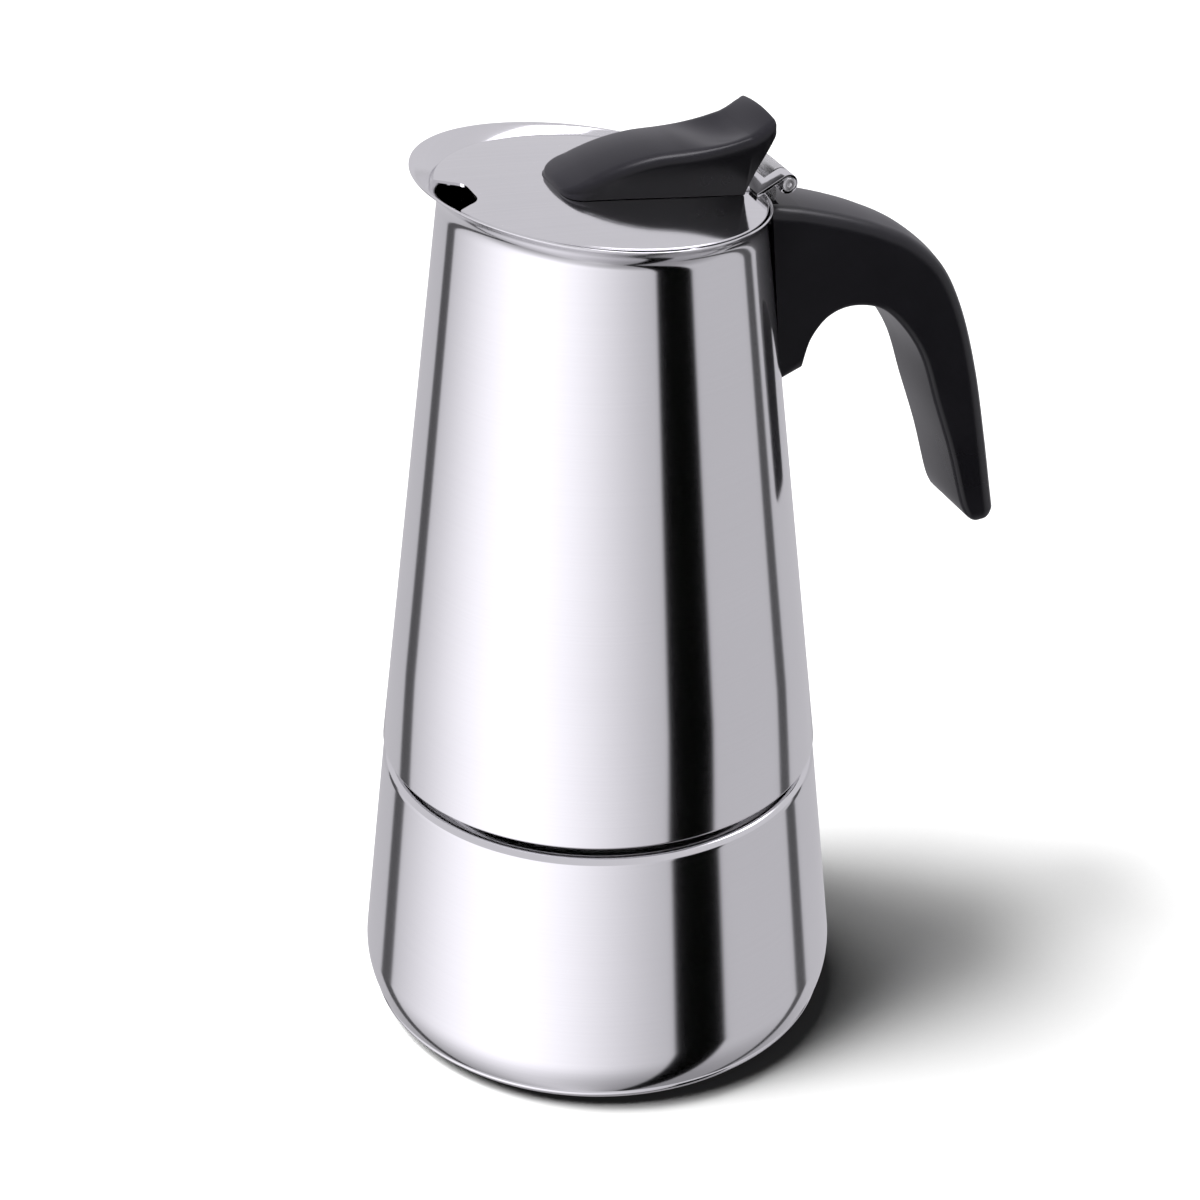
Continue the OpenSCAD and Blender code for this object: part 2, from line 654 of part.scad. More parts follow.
module handle_screw() color("lightgray") {
    head_h = 2;
    translate([handle_screw_x, 0, screw_seat_z])
        cylinder(r = handle_screw_r, h = tab_z + tab_t + 4 - screw_seat_z);
    translate([handle_screw_x, 0, screw_seat_z - head_h])
        cylinder(r1 = handle_screw_r * 1.4, r2 = handle_screw_r * 1.65, h = head_h);
}

// ---- Lid ----

knob_screw_head_h = 1.8;
dome_steps = 12;

module lid_plate() color("silver")
    on_lid() difference() {
        union() {
            rotate_extrude()
                polygon(concat([for (k = [0:dome_steps]) let (r = (lid_r - 0.5) * k / dome_steps)
                                    [r, dome(r) - lid_t]],
                               arc([lid_r - lid_t / 2, lid_up - lid_t / 2], lid_t / 2, -60, 60, 4),
                               [for (k = [dome_steps:-1:0]) let (r = (lid_r - 0.3) * k / dome_steps)
                                    [r, dome(r)]]));
            translate([0, 0, -lid_t - skirt_h])
                tube(skirt_r, skirt_r - lid_t, skirt_h + dome(skirt_r) + 0.2);
        }
        translate([-lid_r, 0, -10]) pouring_notch();
        for (x = screw_places)
            translate([x, 0, -5]) cylinder(r = knob_screw_r + 0.1, h = 10);
    }

// The notch has two round corners inside the lid and widens to the lid's edge
module pouring_notch() {
    corner_r = notch_d * 0.68;
    half = concat([[notch_w / 2 + 1.2, -2], [notch_w / 2, 0]],
                  arc([notch_w * 0.13, notch_d - corner_r], corner_r, 30, 90, 6));
    linear_extrude(20) polygon([for (p = mirrored(half)) [p[1], p[0]]]);
}

// The leaf lies on the lid under the knob, rises to the pin, and rolls over it as two knuckles
leaf_root_x = pin_x - leaf_root_back;
leaf_bend_x = pin_x - leaf_bend_back;

module lid_leaf() color("lightgray") {
    up = [-sin(leaf_rise), cos(leaf_rise)];
    pin = [pin_x, pin_z];
    bend_z = lid_z - tan(rim_tilt) * leaf_bend_x + dome(leaf_bend_x) + lid_seat;
    root_z = lid_z - tan(rim_tilt) * leaf_root_x + dome(leaf_root_x) + lid_seat;
    lift = [0, leaf_t];
    difference() {
        rotate([90, 0, 0]) linear_extrude(2 * hinge_half_w, center = true)
            difference() {
                union() {
                    polygon([[leaf_root_x, root_z], [leaf_bend_x, bend_z],
                             pin + knuckle_in_r * up, pin + knuckle_r * up,
                             [leaf_bend_x - 0.1, bend_z] + lift, [leaf_root_x, root_z] + lift]);
                    difference() {
                        translate(pin) circle(r = knuckle_r);
                        translate(pin) polygon([[0, 0], 6 * [cos(93 + leaf_rise), sin(93 + leaf_rise)],
                                                [-6, 1], 6 * [cos(215), sin(215)]]);
                    }
                }
                translate(pin) circle(r = knuckle_in_r);
            }
        translate([pin_x - 3.4, -middle_half_w - knuckle_gap, lid_z - 10])
            cube([10, 2 * (middle_half_w + knuckle_gap), 20]);
        for (side = [-1, 1])
            translate([leaf_root_x - 1, side * (tongue_half_w + 5) - 5, lid_z - 10])
                cube([leaf_bend_x - leaf_root_x + 0.7, 10, 20]);
        on_lid() translate([screw_places[1], 0, -5]) cylinder(r = knob_screw_r + 0.1, h = 10);
    }
}

// Stations along the knob, front to rear, in the lid's own plane: place beyond the hinge
// pin, half the foot's width, half the back's width, height of the back, and height of the
// underside, where it stands off the lid
back = [[-44.8, 4.6, 3.9, 2, 0], [-44.5, 6.4, 5.6, 2.5, 0], [-43.8, 7.9, 7.1, 3.1, 0],
        [-42.5, 8.8, 8.2, 3.9, 0], [-40.8, 9, 8.7, 4.8, 0], [-37.1, 9, 8.9, 6.5, 0],
        [-32.6, 9, 9, 8.1, 0], [-27.4, 9, 9, 9.3, 0], [-21.6, 8.8, 9, 9.9, 0],
        [-15.9, 8.3, 9, 10.5, 0], [-12.2, 7.9, 9, 11.1, 0], [-9.2, 7.7, 9, 12, 0],
        [-8.2, 7.8, 9, 12.6, 2.2], [-7.0, 8.2, 9, 13.4, 5.6], [-5.5, 8.8, 9, 14.6, 9.4]];
lever_tip = [-4.0, 8.5, 8.3, 15.3, 12.8];

// Half a section: the underside, an upright side, a round edge and a slightly crowned back
function back_half(b, t, h, z) =
    let (r = min(knob_round, (h - z) * 0.6), side = [t, h - r], edge = [t, h - 0.1], top = [t - r, h])
    concat([[b, z], [b, z + 0.4]],
           [for (k = [0:4]) let (s = k / 4)
               side * (1 - s) * (1 - s) + 2 * edge * s * (1 - s) + top * s * s],
           [[(t - r) * 0.6, h + knob_crown * 0.64], [(t - r) * 0.2, h + knob_crown]]);

function back_ring(s) =
    let (x = pin_x + s[0], under = max(s[4] * knob_rise, dome(x) + lid_seat))
    [for (p = mirrored(back_half(s[1], s[2], s[3] * knob_rise, under))) [x, p[0], p[1]]];

module knob() color([0.09, 0.09, 0.1]) {
    pocket_half_w = tongue_half_w + side_gap;
    pocket_top = dome(leaf_root_x) + lid_seat + leaf_t + fixed_gap;
    on_lid() difference() {
        loft(concat([for (s = smooth(back, 2)) back_ring(s)], [back_ring(lever_tip)]));
        translate([leaf_root_x - side_gap, -pocket_half_w, 0])
            cube([leaf_root_back + side_gap, 2 * pocket_half_w, pocket_top]);
        for (x = screw_places)
            translate([x, 0, 0]) cylinder(r = knob_screw_r + fixed_gap, h = knob_screw_len + 0.5);
    }
}

module knob_screws() color("lightgray")
    on_lid() for (x = screw_places) {
        head_r = knob_screw_r * 1.9;
        translate([x, 0, dome(x + head_r) - lid_t]) {
            translate([0, 0, -knob_screw_head_h])
                cylinder(r1 = knob_screw_r * 1.5, r2 = head_r, h = knob_screw_head_h);
            translate([0, 0, -0.5]) cylinder(r = knob_screw_r, h = knob_screw_len + 0.5);
        }
    }

boiler_shell();
heat_spreader();
base_cap();
valve_bush();
valve_washer();
valve_body();
valve_cap();
valve_spring();
valve_pin();
funnel_basket();
funnel_strainer();
funnel_stem();
seal_ring();
filter_plate();
jug_body();
jug_floor();
thread_collar();
riser_tube();
riser_cap();
hinge_bracket();
hinge_pin();
handle();
handle_screw();
lid_plate();
lid_leaf();
knob();
knob_screws();
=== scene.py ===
"""The looks of a stovetop moka pot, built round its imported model. Sizes are in millimetres
until a mesh is made; the frame is the model's own, with the handle along +X."""
import math

import bmesh
import bpy
from mathutils import Matrix, Vector


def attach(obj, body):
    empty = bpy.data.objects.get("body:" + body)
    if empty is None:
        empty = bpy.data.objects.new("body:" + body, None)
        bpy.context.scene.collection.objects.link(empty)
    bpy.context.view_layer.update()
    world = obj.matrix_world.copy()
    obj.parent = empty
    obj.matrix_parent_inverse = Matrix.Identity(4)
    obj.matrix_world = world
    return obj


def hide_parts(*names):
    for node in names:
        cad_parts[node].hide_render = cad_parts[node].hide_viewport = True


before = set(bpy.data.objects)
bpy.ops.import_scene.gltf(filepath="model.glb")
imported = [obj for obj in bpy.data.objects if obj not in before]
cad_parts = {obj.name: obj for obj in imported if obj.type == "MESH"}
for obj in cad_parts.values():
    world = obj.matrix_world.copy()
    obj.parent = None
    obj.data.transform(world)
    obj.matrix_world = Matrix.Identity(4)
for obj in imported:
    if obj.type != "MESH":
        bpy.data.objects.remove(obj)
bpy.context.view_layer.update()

MM = 0.001

# ---- Sizes, as in the model except at the base, the shoulder, the lid and its notch ----

SHEET = 0.9
BOILER_R, BOILER_WIDE_Z, CORNER_R = 50.0, 11.5, 18.0
SHOULDER_R, BOILER_H, SHOULDER_EDGE = 45.1, 59.1, 1.9
FOOT_H, FOOT_R, FOOT_CHAMFER = 1.5, 46.5, (0.5, 0.4)
BEAD_R, BEAD_X, BEAD_Z = 0.75, 47.75, 3.75
CORE_R, CORE_TOP = 41.0, 3.0
NECK_R, NECK_WALL, MOUTH_Z = 38.0, 1.2, 70.5
THREAD_ROOM, PITCH = 1.2, 3.8
JUG_Z, JUG_FOOT_R, JUG_TOP_R, JUG_H = 61.5, 44.9, 30.9, 119.4
HEM = 1.4
LID_Z = JUG_Z + JUG_H
RIM_TILT = math.radians(5.3)
FLARE_DEPTH, RIM_BACK_R, LIP_R, RIM_BACK_Z, LIP_Z = 4.8, 32.2, 36.9, -0.4, 2.5
LID_R, LID_UP, LID_CROWN, LID_T = 31.75, 0.3, 1.1, 0.5
SKIRT_R, SKIRT_BOTTOM = 29.2, -3.4
NOTCH_W, NOTCH_D = 18.4, 6.0
PIN_X, PIN_Z, PIN_R, LEAF_T = 34.8, 180.6, 1.3, 0.6
HINGE_HALF_W, MIDDLE_HALF_W, TONGUE_HALF_W = 8.6, 4.5, 5.0
KNOB_SCREWS = (4.0, 19.0)
HANDLE_W = 18.0
CREASE, SOFT_CREASE, KNOB_CREASE = 35.0, 40.0, 50.0
FINE_STEPS = 288

LID_FRAME = Matrix.Translation((0, 0, LID_Z)) @ Matrix.Rotation(RIM_TILT, 4, "Y")


# ---- Materials ----

def shader_node(tree, kind, inputs=None, **attributes):
    """A node with its attributes set and its inputs given as values or linked to sockets."""
    made = tree.nodes.new(kind)
    for key, value in attributes.items():
        setattr(made, key, value)
    for key, value in (inputs or {}).items():
        if isinstance(value, bpy.types.NodeSocket):
            tree.links.new(value, made.inputs[key])
        else:
            made.inputs[key].default_value = value
    return made


def new_material(name):
    material = bpy.data.materials.new(name)
    material.use_nodes = True
    tree = material.node_tree
    tree.nodes.clear()
    output = tree.nodes.new("ShaderNodeOutputMaterial")
    surface = tree.nodes.new("ShaderNodeBsdfPrincipled")
    tree.links.new(surface.outputs[0], output.inputs["Surface"])
    return material, tree, surface


def stretched_noise(tree, scale, detail=3.0, roughness=0.6):
    """Noise drawn out along the axes that have a small scale, in waves a metre."""
    coords = shader_node(tree, "ShaderNodeTexCoord")
    mapping = shader_node(tree, "ShaderNodeMapping",
                          {"Vector": coords.outputs["Object"], "Scale": scale})
    noise = shader_node(tree, "ShaderNodeTexNoise",
                        {"Vector": mapping.outputs[0], "Scale": 1.0, "Detail": detail,
                         "Roughness": roughness})
    return noise.outputs["Fac"]


def ranged(tree, value, low, high, from_low=0.3, from_high=0.7):
    node = shader_node(tree, "ShaderNodeMapRange",
                       {"Value": value, "From Min": from_low, "From Max": from_high,
                        "To Min": low, "To Max": high})
    return node.outputs[0]


def mixed(tree, factor, a, b):
    node = shader_node(tree, "ShaderNodeMix", data_type="RGBA")
    for key, value in (("Factor", factor), ("A", a), ("B", b)):
        socket = [s for s in node.inputs if s.name == key and s.enabled][0]
        if isinstance(value, bpy.types.NodeSocket):
            tree.links.new(value, socket)
        else:
            socket.default_value = value
    return [s for s in node.outputs if s.enabled][0]


def metal(name, dark, light, rough, lines, depth, clouds=30.0, metallic=1.0):
    """Worked metal: fine lines along one direction, with soft clouds of wear over them."""
    material, tree, surface = new_material(name)
    line = stretched_noise(tree, lines)
    cloud = stretched_noise(tree, (clouds, clouds, clouds), 4.0, 0.55)
    both = shader_node(tree, "ShaderNodeMath", {0: line, 1: cloud}, operation="ADD")
    half = shader_node(tree, "ShaderNodeMath", {0: both.outputs[0], 1: 0.5}, operation="MULTIPLY")
    colour = mixed(tree, ranged(tree, half.outputs[0], 0.0, 1.0), dark, light)
    tree.links.new(colour, surface.inputs["Base Color"])
    tree.links.new(ranged(tree, half.outputs[0], rough[0], rough[1]), surface.inputs["Roughness"])
    bump = shader_node(tree, "ShaderNodeBump", {"Height": line, "Strength": 1.0, "Distance": depth})
    tree.links.new(bump.outputs[0], surface.inputs["Normal"])
    surface.inputs["Metallic"].default_value = metallic
    return material


def plastic(name, dark, light, rough, grain, depth, specular=0.5):
    """Moulded plastic with a fine spark-eroded grain."""
    material, tree, surface = new_material(name)
    fine = stretched_noise(tree, (grain, grain, grain), 2.0, 0.5)
    broad = stretched_noise(tree, (40.0, 40.0, 40.0), 3.0, 0.5)
    colour = mixed(tree, ranged(tree, broad, 0.0, 1.0), dark, light)
    tree.links.new(colour, surface.inputs["Base Color"])
    tree.links.new(ranged(tree, broad, rough[0], rough[1]), surface.inputs["Roughness"])
    bump = shader_node(tree, "ShaderNodeBump", {"Height": fine, "Strength": 1.0, "Distance": depth})
    tree.links.new(bump.outputs[0], surface.inputs["Normal"])
    surface.inputs["Specular IOR Level"].default_value = specular
    return material


def grey(value, tint=0.0):
    return (value, value * (1 - 0.004 * tint), value * (1 + 0.012 * tint), 1.0)


ROUND_BRUSH = (5.0, 5.0, 2600.0)
FLAT_BRUSH = (9.0, 2600.0, 9.0)
MATERIALS = {
    "polished_steel": metal("polished_steel", grey(0.815, 1), grey(0.845, 1), (0.095, 0.115),
                            ROUND_BRUSH, 0.000001),
    "satin_steel": metal("satin_steel", grey(0.80, 1), grey(0.86, 1), (0.07, 0.1),
                         FLAT_BRUSH, 0.000001),
    "bracket_steel": metal("bracket_steel", grey(0.66), grey(0.78), (0.2, 0.32),
                           (400.0, 400.0, 1400.0), 0.000006),
    "inner_steel": metal("inner_steel", grey(0.6), grey(0.72), (0.28, 0.4), ROUND_BRUSH, 0.000006),
    "fastener_steel": metal("fastener_steel", grey(0.55), grey(0.72), (0.25, 0.38),
                            (1500.0, 1500.0, 1500.0), 0.00001),
    "core_aluminium": metal("core_aluminium", grey(0.55), grey(0.66), (0.4, 0.5),
                            (900.0, 900.0, 200.0), 0.00001),
    "valve_brass": metal("valve_brass", (0.62, 0.42, 0.16, 1), (0.78, 0.56, 0.25, 1),
                         (0.22, 0.34), (200.0, 1600.0, 200.0), 0.00001),
    "spring_steel": metal("spring_steel", grey(0.4), grey(0.55), (0.25, 0.35),
                          (1200.0, 1200.0, 1200.0), 0.000006),
    "washer_rubber": plastic("washer_rubber", (0.25, 0.03, 0.02, 1), (0.33, 0.05, 0.03, 1),
                             (0.5, 0.62), 3000.0, 0.00001),
    "seal_rubber": plastic("seal_rubber", (0.68, 0.67, 0.63, 1), (0.78, 0.77, 0.73, 1),
                           (0.42, 0.55), 2500.0, 0.000015),
    "black_plastic": plastic("black_plastic", (0.003, 0.0026, 0.005, 1),
                             (0.0045, 0.004, 0.007, 1), (0.27, 0.33), 5200.0, 0.0000035, 0.46),
}

NODE_SLOTS = {
    "boiler_shell": "polished_steel", "jug_body": "polished_steel",
    "lid_plate": "satin_steel", "lid_leaf": "satin_steel",
    "hinge_bracket": "bracket_steel", "base_cap": "bracket_steel",
    "funnel_basket": "inner_steel", "funnel_strainer": "inner_steel",
    "funnel_stem": "inner_steel", "filter_plate": "inner_steel", "jug_floor": "inner_steel",
    "thread_collar": "inner_steel", "riser_tube": "inner_steel", "riser_cap": "inner_steel",
    "valve_bush": "inner_steel",
    "hinge_pin": "fastener_steel", "handle_screw": "fastener_steel",
    "knob_screws": "fastener_steel",
    "heat_spreader": "core_aluminium",
    "valve_body": "valve_brass", "valve_cap": "valve_brass", "valve_pin": "valve_brass",
    "valve_spring": "spring_steel", "valve_washer": "washer_rubber", "seal_ring": "seal_rubber",
    "handle": "black_plastic", "knob": "black_plastic",
}

for node_name, slot_name in NODE_SLOTS.items():
    cad_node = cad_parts[node_name]
    for material_slot in cad_node.material_slots:
        material_slot.material = MATERIALS[slot_name]


# ---- Shapes ----

def add_object(name, verts, faces, crease=CREASE):
    """A closed mesh in millimetres, smooth but for edges sharper than crease."""
    mesh = bpy.data.meshes.new(name)
    mesh.from_pydata([Vector(v) * MM for v in verts], [], faces)
    work = bmesh.new()
    work.from_mesh(mesh)
    bmesh.ops.remove_doubles(work, verts=work.verts, dist=2e-7)
    bmesh.ops.dissolve_degenerate(work, edges=work.edges, dist=1e-8)
    bmesh.ops.recalc_face_normals(work, faces=work.faces)
    work.to_mesh(mesh)
    work.free()
    obj = bpy.data.objects.new(name, mesh)
    bpy.context.scene.collection.objects.link(obj)
    smooth_object(obj, crease)
    return obj


def smooth_object(obj, crease):
    obj.data.shade_smooth()
    obj.data.set_sharp_from_angle(angle=math.radians(crease))


def finish_piece(obj, body, slot, replaced=()):
    obj.data.materials.clear()
    obj.data.materials.append(MATERIALS[slot])
    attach(obj, body)
    if replaced:
        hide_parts(*replaced)
    return obj


def cut(obj, cutters, crease):
    """Takes the cutters out of obj and deletes them."""
    for cutter in cutters:
        modifier = obj.modifiers.new("cut", "BOOLEAN")
        modifier.operation = "DIFFERENCE"
        modifier.solver = "EXACT"
        modifier.object = cutter
    depsgraph = bpy.context.evaluated_depsgraph_get()
    result = bpy.data.meshes.new_from_object(obj.evaluated_get(depsgraph))
    obj.modifiers.clear()
    obj.data = result
    for cutter in cutters:
        bpy.data.objects.remove(cutter, do_unlink=True)
    smooth_object(obj, crease)


def soften(obj, width, crease):
    """Rounds every sharp edge of obj a little."""
    modifier = obj.modifiers.new("soften", "BEVEL")
    modifier.width = width * MM
    modifier.segments = 2
    modifier.limit_method = "ANGLE"
    modifier.angle_limit = math.radians(SOFT_CREASE)
    depsgraph = bpy.context.evaluated_depsgraph_get()
    result = bpy.data.meshes.new_from_object(obj.evaluated_get(depsgraph))
    obj.modifiers.clear()
    obj.data = result
    smooth_object(obj, crease)


def loop_faces(rings, size, closed):
    """Quads between neighbouring rings of size points each."""
    faces = []
    for j in range(rings if closed else rings - 1):
        q = (j + 1) % rings
        for i in range(size):
            k = (i + 1) % size
            faces.append((j * size + i, q * size + i, q * size + k, j * size + k))
    return faces


def loft(name, rings, crease=CREASE, closed=False):
    size = len(rings[0])
    faces = loop_faces(len(rings), size, closed)
    if not closed:
        faces.append(tuple(range(size - 1, -1, -1)))
        faces.append(tuple(range((len(rings) - 1) * size, len(rings) * size)))
    return add_object(name, [p for ring in rings for p in ring], faces, crease)


def lathe(name, profile, steps=240, crease=CREASE, axis=None):
    """A closed profile of (radius, height) turned round Z, or round the axis matrix."""
    rings = []
    for j in range(steps):
        a = 2 * math.pi * j / steps
        ring = [Vector((r * math.cos(a), r * math.sin(a), z)) for r, z in profile]
        rings.append([axis @ p for p in ring] if axis else ring)
    return loft(name, rings, crease, closed=True)


def bore(name, radius, low, high, axis, steps):
    """A round cutter along the axis, from low to high."""
    return lathe(name, [(0, low), (radius, low), (radius, high), (0, high)], steps, axis=axis)


def arc(cx, cz, r, a0, a1, steps=8):
    """Points on a circle, from angle a0 to a1 in degrees."""
    points = []
    for k in range(steps + 1):
        a = math.radians(a0 + (a1 - a0) * k / steps)
        points.append((cx + r * math.cos(a), cz + r * math.sin(a)))
    return points


def bezier(a, b, c, steps):
    points = []
    for k in range(steps + 1):
        t = k / steps
        points.append(tuple(p * (1 - t) ** 2 + 2 * q * t * (1 - t) + r * t * t
                            for p, q, r in zip(a, b, c)))
    return points


def catmull(a, b, c, d, t):
    return [0.5 * (2 * q + (r - p) * t + (2 * p - 5 * q + 4 * r - s) * t * t
                   + (3 * q - p - 3 * r + s) * t ** 3) for p, q, r, s in zip(a, b, c, d)]


def smooth_stations(stations, steps):
    last = len(stations) - 1
    out = []
    for i in range(last):
        four = (stations[max(i - 1, 0)], stations[i], stations[i + 1],
                stations[min(i + 2, last)])
        out += [catmull(*four, k / steps) for k in range(steps)]
    return out + [stations[last]]


def mirrored(half):
    return half + [(-x, y) for x, y in reversed(half)]


# ---- Boiler ----

taper = math.degrees(math.atan((BOILER_R - SHOULDER_R) / (BOILER_H - BOILER_WIDE_Z)))
corner_x = BOILER_R - CORNER_R
corner_start = -math.degrees(math.asin((BOILER_WIDE_Z - BEAD_Z - BEAD_R) / CORNER_R))
shoulder_x, shoulder_z = SHOULDER_R - SHOULDER_EDGE, BOILER_H - SHOULDER_EDGE
mouth_r = NECK_R - NECK_WALL
floor_top = FOOT_H + SHEET + 0.3
boiler_outer = ([(0, CORE_TOP)] + arc(CORE_R - 0.6, CORE_TOP - 0.6, 0.6, 90, 0, 4)
                + [(CORE_R + CORE_TOP - FOOT_H, FOOT_H), (FOOT_R, FOOT_H),
                   (FOOT_R + FOOT_CHAMFER[0], FOOT_H + FOOT_CHAMFER[1])]
                + arc(BEAD_X, BEAD_Z, BEAD_R, -85, 70, 10)
                + arc(corner_x, BOILER_WIDE_Z, CORNER_R, corner_start, taper, 28)
                + arc(shoulder_x, shoulder_z, SHOULDER_EDGE, taper, 90, 12)
                + arc(NECK_R + SHEET, BOILER_H + SHEET, SHEET, -90, -180, 6)
                + arc(NECK_R - 0.5, MOUTH_Z - 0.5, 0.5, 0, 90, 5))
boiler_inner = (arc(mouth_r + 0.4, MOUTH_Z - 0.4, 0.4, 90, 180, 5)
                + [(mouth_r, BOILER_H - SHEET)]
                + arc(shoulder_x, shoulder_z, SHOULDER_EDGE - SHEET, 90, taper, 6)
                + arc(corner_x, BOILER_WIDE_Z, CORNER_R - SHEET, taper, corner_start + 3, 20)
                + [(46.6, 4.3), (46.0, floor_top), (CORE_R + CORE_TOP - FOOT_H, floor_top),
                   (CORE_R - SHEET, CORE_TOP + SHEET), (0, CORE_TOP + SHEET)])
boiler = lathe("boiler_skin", boiler_outer + boiler_inner, FINE_STEPS)
finish_piece(boiler, "boiler", "polished_steel", ["boiler_shell"])

# ---- Jug: the cone, its hem and the flared rim as one skin ----

RIM_STATIONS = [(0, 0), (0, 0.07), (0.04, 0.24), (0.24, 0.45), (0.6, 0.57), (0.9, 0.66),
                (1, 0.78), (0.94, 0.9), (0.84, 0.98), (0.8, 1)]
RIM_STEP = 20.0


def jug_r(z):
    return JUG_FOOT_R - (JUG_FOOT_R - JUG_TOP_R) / JUG_H * (z - JUG_Z)


def rim_edge(a):
    """Radius and height of the rim's edge at angle a from the hinge, in the lid's frame."""
    last = len(RIM_STATIONS) - 1

    def station(i):
        i = abs(i)
        return RIM_STATIONS[2 * last - i if i > last else i]
    at = abs(a) / RIM_STEP
    i = min(int(at), last - 1)
    w, s = catmull(station(i - 1), station(i), station(i + 1), station(i + 2), at - i)
    return RIM_BACK_R + w * (LIP_R - RIM_BACK_R), RIM_BACK_Z + s * (LIP_Z - RIM_BACK_Z), w


def wall_rho(a, h):
    """Distance of the jug's wall from the lid's axis at height h in the lid's frame."""
    rho = JUG_TOP_R
    for _ in range(6):
        p = LID_FRAME @ Vector((rho * math.cos(a), rho * math.sin(a), h))
        rho *= jug_r(p.z) / math.hypot(p.x, p.y)
    return rho


def jug_section(degrees):
    a = math.radians(degrees)
    rho = wall_rho(a, -FLARE_DEPTH)
    below = wall_rho(a, -FLARE_DEPTH - 3)
    edge_r, edge_z, w = rim_edge(degrees)
    slope = (rho - below) / 3
    turn_z = edge_z - 0.3 * (edge_r - rho) - 1.9 + 0.4 * w

    def place(r, h):
        return LID_FRAME @ Vector((r * math.cos(a), r * math.sin(a), h))
    steps = 14
    foot = Vector((rho - SHEET, -FLARE_DEPTH))
    turn = Vector((foot.x + slope * (turn_z - foot.y) * 0.6, turn_z))
    edge = Vector((edge_r, edge_z))
    inner, outer = [], []
    for k in range(steps + 1):
        t = k / steps
        p = foot * (1 - t) ** 2 + 2 * turn * t * (1 - t) + edge * t * t
        g = ((turn - foot) * (1 - t) + (edge - turn) * t).normalized()
        thick = SHEET - 0.45 * t
        inner.append(p)
        outer.append(p + thick * Vector((g.y, -g.x)))
    across = (inner[-1] - outer[-1]) / 2
    middle = (inner[-1] + outer[-1]) / 2
    ahead = Vector((across.y, -across.x))
    if ahead.dot(edge - turn) < 0:
        ahead = -ahead
    lip = [middle - across * math.cos(b) + ahead * math.sin(b)
           for b in (math.pi * k / 6 for k in range(1, 6))]
    top = [place(p.x, p.y) for p in outer + lip + inner[::-1]]
    foot_out, foot_in = top[0], top[-1]

    def on_wall(target, r, z):
        level = math.hypot(target.x, target.y)
        return Vector((target.x * r / level, target.y * r / level, z))
    low = JUG_FOOT_R - SHEET - HEM
    bottom_out = [on_wall(foot_out, r, z) for r, z in
                  [(low + 0.3, JUG_Z)] + arc(JUG_FOOT_R - 0.5, JUG_Z + 0.5, 0.5, -90, 5, 6)]
    walls = [bottom_out[-1].lerp(foot_out, t) for t in (0.2, 0.4, 0.6, 0.8, 0.95)]
    inner_foot = jug_r(JUG_Z + SHEET) - SHEET
    bottom_in = [on_wall(foot_in, r, z) for r, z in
                 [(inner_foot, JUG_Z + SHEET + 0.4), (inner_foot - 0.4, JUG_Z + SHEET),
                  (low + 0.3, JUG_Z + SHEET), (low, JUG_Z + SHEET - 0.3), (low, JUG_Z + 0.3)]]
    walls_in = [foot_in.lerp(bottom_in[0], t) for t in (0.05, 0.3, 0.6)]
    return bottom_out + walls + top + walls_in + bottom_in


jug = loft("jug_skin", [jug_section(1.5 * j) if j <= 120 else jug_section(1.5 * j - 360)
                        for j in range(240)], CREASE, closed=True)
finish_piece(jug, "jug", "polished_steel", ["jug_body"])

# ---- Handle ----

GRIP = [(39.2, 80.2, 38.0, 114.0), (40.9, 85.8, 43.7, 112.4), (44.6, 90.1, 49.8, 110.4),
        (49.8, 91.6, 56.2, 107.8), (56.2, 90.1, 63.4, 103.9), (61.5, 85.1, 70.3, 97.3),
        (66.0, 77.8, 75.4, 87.2), (69.6, 67.2, 79.6, 73.2), (73.6, 55.7, 82.8, 58.0),
        (77.0, 43.9, 85.3, 44.5), (78.6, 40.3, 86.0, 40.8)]
GRIP_ROOT = (34.5, 78.2, 31.5, 115.3)
GRIP_TIP = (80.4, 38.0, 85.3, 38.4)
GRIP_INNER_R, GRIP_OUTER_R, GRIP_CROWN = 1.2, 3.0, 0.5


def grip_half(d, w):
    inner = min(GRIP_INNER_R, d / 4)
    outer = min(GRIP_OUTER_R, d / 2.5)
    crown = [((w - outer) * s, d - GRIP_CROWN * s * s) for s in (0.8, 0.6, 0.4, 0.2, 0.05)]
    flat = d - GRIP_CROWN - outer - inner
    return (arc(w - inner, inner, inner, -90, 0, 5)
            + [(w, inner + 0.04 * flat), (w, inner + 0.96 * flat)]
            + arc(w - outer, d - GRIP_CROWN - outer, outer, 0, 86, 8) + crown)


def grip_ring(station, w):
    inner = Vector(station[:2])
    outer = Vector(station[2:])
    d = (outer - inner).length
    u = (outer - inner) / d
    ring = []
    for across, along in mirrored(grip_half(d, w)):
        q = inner + u * along
        ring.append(Vector((q.x, across, JUG_Z + q.y)))
    return ring


def eased_tip(last, tip, w, inset, steps=5):
    """Rings that close the free end with a rounded edge."""
    rings = []
    for k in range(1, steps + 1):
        a = math.pi / 2 * k / steps
        s, c = math.sin(a), 1 - math.cos(a)
        station = [p + (q - p) * s for p, q in zip(last, tip)]
        middle = [(station[0] + station[2]) / 2, (station[1] + station[3]) / 2] * 2
        station = [p + (m - p) * 0.3 * c for p, m in zip(station, middle)]
        rings.append(grip_ring(station, w - inset * c))
    return rings


def block(name, x0, x1, y0, y1, z0, z1, turned=None):
    corners = [Vector((x, y, z)) for x in (x0, x1) for y in (y0, y1) for z in (z0, z1)]
    if turned:
        corners = [turned @ c for c in corners]
    return add_object(name, corners, [(0, 1, 3, 2), (4, 6, 7, 5), (0, 4, 5, 1), (2, 3, 7, 6),
                                      (0, 2, 6, 4), (1, 5, 7, 3)])


